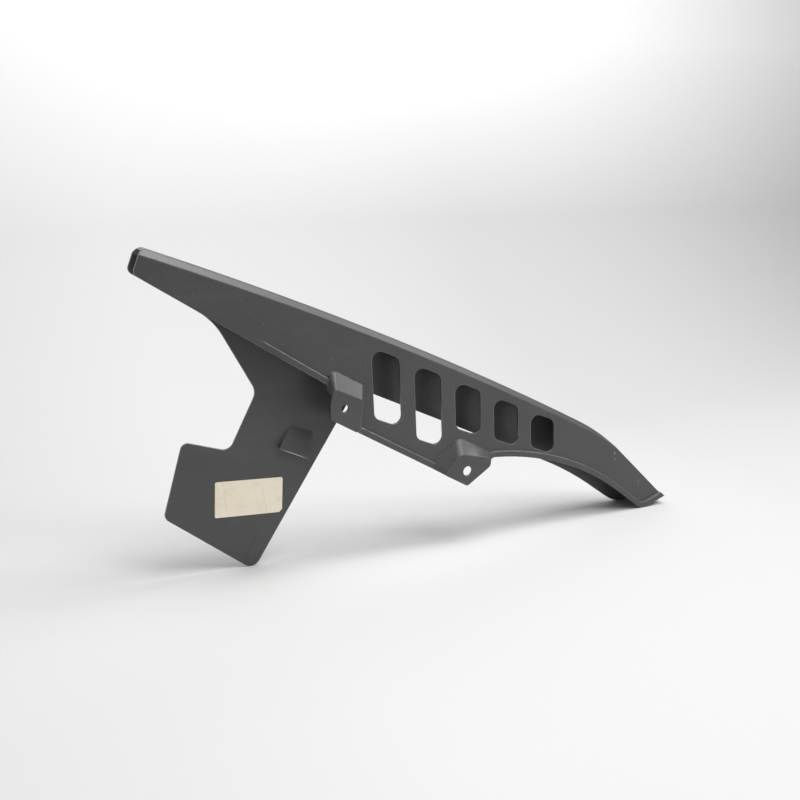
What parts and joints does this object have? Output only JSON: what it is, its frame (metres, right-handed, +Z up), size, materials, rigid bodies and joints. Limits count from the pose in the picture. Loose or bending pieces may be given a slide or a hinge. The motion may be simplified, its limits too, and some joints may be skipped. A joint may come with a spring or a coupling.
{
  "type": "motorcycle chain guard",
  "caption": "Moulded plastic motorcycle chain guard with a beveled channel, slotted side, two stand-off bolt tabs, a side flap and a blank paper label",
  "frame": {"origin": "The centre of the front bolt hole, on the outer face of its pad.", "axes": "+X runs level along the guard from its nose to its tail. +Y runs across it, parallel to both bolt holes, from the wall with the bolt tabs to the wall with the flap. +Z is up from the surface that the guard stands on in the picture."},
  "size_m": [0.496, 0.038, 0.2699],
  "materials": {
    "guard_plastic": "matt moulded, fine grain",
    "label_paper": "matt, slightly yellowed"
  },
  "bodies": {
    "root": {"chain_guard": "guard_plastic", "paper_label": "label_paper"}
  },
  "joints": []
}
